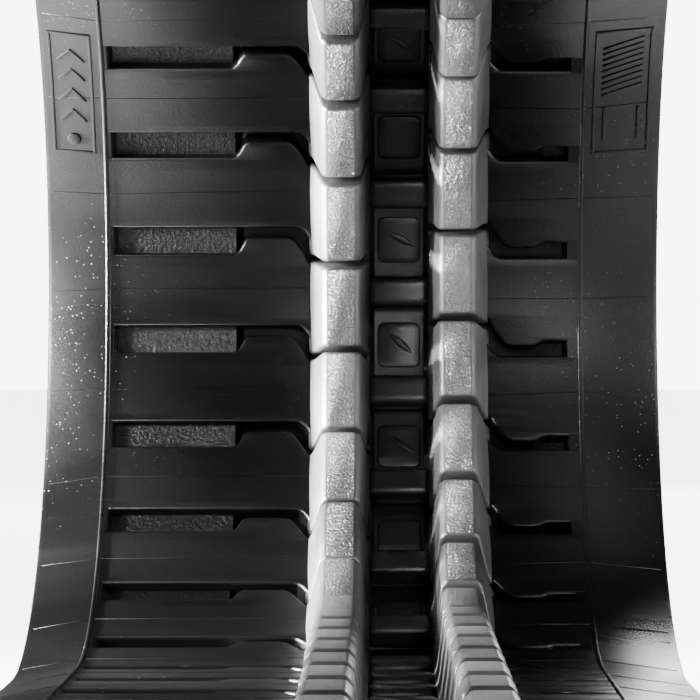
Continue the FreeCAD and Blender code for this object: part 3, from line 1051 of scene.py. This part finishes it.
@dataclass
class Tread:
    """The outer rubber: a carcass with rounded edges, and ground lugs left and right by turns."""

    half_width: float = 150.0
    top: float = -2.1
    bottom: float = -8.0
    face: float = -28.0
    inner: float = -24.0
    outer: float = 146.0
    materials: dict[str, Material] = field(default_factory=dict)

    def slab(self, count: int, bent: bool) -> Piece:
        """A flat length of the outer carcass, with y = 0 at its start."""
        w, low = self.half_width, self.bottom
        outline = [
            (-w, self.top), (w, self.top), (w, low + 3.0), (w - 0.7, low + 1.4), (w - 2.2, low + 0.4),
            (w - 4.0, low), (-w + 4.0, low), (-w + 2.2, low + 0.4), (-w + 0.7, low + 1.4), (-w, low + 3.0),
        ]
        piece = length_of(outline, count, bent)
        paint(piece, self.materials["tread"])
        return piece

    def block_outline(self, side: Side, shrink: tuple[float, float]) -> list[Point]:
        """A ground lug's outline, drawn in towards its middle."""
        half = 17.5
        middle = (self.inner + self.outer) / 2
        corners = [
            (self.inner, -6.0), (self.inner + 18, -half), (self.outer - 28, -half), (self.outer, -11.0),
            (self.outer, 11.0), (self.outer - 28, half), (self.inner + 32, half), (self.inner, 6.0),
        ]
        return [
            (side.value * (middle + (x - middle) * shrink[0]), side.value * y * shrink[1]) for x, y in corners
        ]

    def ground_lug(self, side: Side) -> Piece:
        """One ground lug: tapered walls, rounded edges and a shallow tray in its face."""
        piece = plate(self.block_outline(side, (1.0, 1.0)), self.bottom + 3.0, self.bottom - 1.5, 0)
        alone(piece)
        pick(piece, lambda place, _: place.z < self.bottom - 1.4)
        middle = side.value * (self.inner + self.outer) / 2
        drop = (0, 0, self.face - self.bottom + 1.5)
        bpy.ops.transform.resize(value=(0.98, 0.95, 1), center_override=(middle, 0, self.bottom - 1.5))
        bpy.ops.mesh.extrude_region_move(TRANSFORM_OT_translate={"value": drop})
        bpy.ops.transform.resize(value=(0.95 / 0.98, 0.83 / 0.95, 1), center_override=(middle, 0, self.face))
        bpy.ops.mesh.inset(thickness=5.0, depth=0.0)
        bpy.ops.mesh.inset(thickness=1.2, depth=0.0)
        bpy.ops.transform.translate(value=(0, 0, 1.6))
        pick_edges(
            piece,
            lambda a, b: (abs(a.z - self.face) < 0.01 and abs(b.z - self.face) < 0.01)
            or abs(a.z - b.z) > 5.0,
        )
        bpy.ops.mesh.bevel(offset=1.2, segments=2, affect="EDGES", clamp_overlap=True)
        close_mesh()
        paint(piece, self.materials["tread"])
        return tidy(piece)

    def rib(self, side: Side) -> Piece:
        """The low tie rib opposite a ground lug."""
        x = -side.value * 88.0
        piece = block((78.0, 9.0, 3.4), (x, 0.0, self.bottom - 0.4), 1.4, 2)
        paint(piece, self.materials["tread"])
        return piece

    def build(self) -> list[Piece]:
        """Lays the outer carcass and sets the ground lugs round the loop."""
        made = []
        ribs = {side: self.rib(side) for side in Side}
        for rib in ribs.values():
            slice_along(rib, -5.0, 5.0, 5.0)
        for part in stretches():
            slab = self.slab(part.count, len(part.bodies) > 1)
            pieces = [copy_laid(slab, BELT.smooth, part.first * BELT.pitch)]
            discard(slab)
            for link in range(part.first, part.first + part.count):
                rib = ribs[lug_side(link)]
                pieces.append(copy_laid(rib, BELT.smooth, (link + 0.5) * BELT.pitch))
            piece = join(pieces, f"tread_carcass_{part.name}")
            smooth_shade(piece)
            settle(piece, part)
            made.append(piece)
        masters = {side: self.ground_lug(side) for side in Side}
        for body, links in body_links().items():
            pieces = [
                copy_laid(masters[lug_side(link)], BELT.stiff, (link + 0.5) * BELT.pitch) for link in links
            ]
            piece = join(pieces, f"ground_lugs_{body}")
            smooth_shade(piece, LUG_SHADE)
            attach(piece, body)
            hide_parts(f"tread_rubber_{body}")
            made.append(piece)
        discard(*ribs.values(), *masters.values())
        return made


# ------------------------------------------------------------------ studio


def facing(place: Sequence[float], aim: Sequence[float]) -> Euler:
    """The turn that makes a light or camera at a place face a point."""
    return (Vector(aim) - Vector(place)).to_track_quat("-Z", "Y").to_euler()


@dataclass(frozen=True)
class Window:
    """A soft rectangular light: its place, the point it faces, its size, watts and beam in degrees."""

    name: str
    place: tuple[float, float, float]
    aim: tuple[float, float, float]
    size: tuple[float, float]
    power: float
    spread: float = 180.0

    def build(self) -> None:
        """Sets up the light."""
        data = bpy.data.lights.new(self.name, "AREA")
        data.shape = "RECTANGLE"
        data.size, data.size_y = self.size
        data.energy = self.power
        data.spread = math.radians(self.spread)
        light = bpy.data.objects.new(self.name, data)
        bpy.context.scene.collection.objects.link(light)
        light.location = self.place
        light.rotation_euler = facing(self.place, self.aim)


WINDOWS = (
    Window("left_window", (-1.4, 0.96, 0.21), (0.0, 0.92, 0.2), (0.12, 0.25), 70.0, 50.0),
    Window("left_high_window", (-1.4, 0.3, 0.5), (0.0, 0.9, 0.18), (0.15, 0.3), 8.0, 50.0),
    Window("left_near_window", (-1.2, 0.35, 0.5), (0.0, 0.5, 0.08), (0.25, 0.4), 4.0, 70.0),
    Window("right_window", (1.6, 0.8, 0.45), (0.0, 0.9, 0.2), (0.3, 0.6), 8.0),
    Window("top_window", (0.0, -0.5, 2.6), (0.0, 0.0, 0.2), (2.4, 2.4), 32.0),
    Window("right_far", (3.4, -0.6, 1.0), (0.0, 0.0, 0.2), (1.8, 1.4), 130.0),
    Window("left_far", (-3.4, -1.4, 1.0), (0.0, 0.0, 0.2), (1.8, 1.4), 90.0),
    Window("rear_far", (0.6, -3.6, 1.3), (0.0, 0.0, 0.2), (1.8, 1.4), 110.0),
    Window("front_far", (0.6, 3.6, 1.3), (0.0, 0.0, 0.2), (1.8, 1.4), 110.0),
)


@dataclass(frozen=True)
class Studio:
    """The floor, light and camera."""

    eye: tuple[float, float, float] = (0.0136, -0.739, 0.1833)
    aim: tuple[float, float, float] = (-0.00115, 0.930, 0.1833)
    lens: float = 174.8
    white: float = 8.0
    diffuse_fill: float = 0.12
    glossy_fill: float = 0.05
    floor_glow: float = 5.0

    def camera(self) -> None:
        """Sets the camera inside the loop, looking along it."""
        data = bpy.data.cameras.new("camera")
        data.lens = self.lens
        data.clip_start = 0.02
        data.clip_end = 60.0
        camera = bpy.data.objects.new("camera", data)
        bpy.context.scene.collection.objects.link(camera)
        camera.location = self.eye
        camera.rotation_euler = facing(self.eye, self.aim)
        bpy.context.scene.camera = camera

    def floor(self) -> None:
        """A plain pale floor."""
        bpy.ops.object.select_all(action="DESELECT")
        bpy.ops.mesh.primitive_plane_add(size=30.0, location=(0, 0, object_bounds()[0][2]))
        floor = bpy.context.object
        floor.name = "floor"
        material, nodes, shader = principled("pale_floor")
        shader.inputs["Base Color"].default_value = (0.9, 0.9, 0.9, 1)
        shader.inputs["Roughness"].default_value = 0.8
        shader.inputs["Emission Color"].default_value = (1, 1, 1, 1)
        seen = nodes.add("ShaderNodeLightPath").outputs["Is Camera Ray"]
        glow = nodes.add("ShaderNodeMapRange", {"Value": seen, "To Min": 0.0, "To Max": self.floor_glow})
        nodes.link(glow.outputs["Result"], shader.inputs["Emission Strength"])
        paint(floor, material)
        floor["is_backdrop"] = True

    def world(self) -> None:
        """White to the eye, and a softer fill on the track."""
        world = bpy.data.worlds.new("studio")
        bpy.context.scene.world = world
        world.use_nodes = True
        nodes = Nodes(world.node_tree)
        back = next(n for n in nodes.tree.nodes if n.type == "BACKGROUND")
        back.inputs["Color"].default_value = (1, 1, 1, 1)
        path = nodes.add("ShaderNodeLightPath").outputs
        rays = (
            ("Is Camera Ray", self.white),
            ("Is Diffuse Ray", self.diffuse_fill),
            ("Is Glossy Ray", self.glossy_fill),
        )
        shares = [nodes.math("MULTIPLY", path[ray], strength) for ray, strength in rays]
        total = nodes.math("ADD", nodes.math("ADD", shares[0], shares[1]), shares[2])
        nodes.link(total, back.inputs["Strength"])

    def build(self) -> None:
        """Makes the whole studio."""
        self.camera()
        self.floor()
        self.world()
        for window in WINDOWS:
            window.build()


def dress_cad() -> None:
    """Gives the steel and ply inside the rubber their finishes."""
    steel, cord, ply = FORGED.build(), BRASSED.build(), WOVEN.build()
    for name, node in frame["nodes"].items():
        for prefix, material in (("core_bars", steel), ("steel_cords", cord), ("bias_ply", ply)):
            if name.startswith(prefix):
                paint(node, material)


def main() -> None:
    """Builds every sub-assembly and reports its pieces."""
    logging.basicConfig(level=logging.INFO, format="%(message)s")
    Studio().build()
    GROUPS.update(grain=grain_group(), specks=speck_group(), bloom=patch_group())
    finishes = {
        "panel": PANEL.build(), "face": LUG_FACE_PAINTED_LIGHT.build(), "side": LUG_SIDE_PAINTED_LIGHT.build(),
        "recess": RECESS.build(), "pocket": POCKET_PAINTED_LIGHT.build(), "tread": TREAD.build(),
    }
    for maker in (GuideCarcass(materials=finishes), GuideLugs(materials=finishes), Tread(materials=finishes)):
        for piece in maker.build():
            LOG.info("%s: %d faces", piece.name, len(piece.data.polygons))
    dress_cad()


if __name__ == "__main__":
    main()
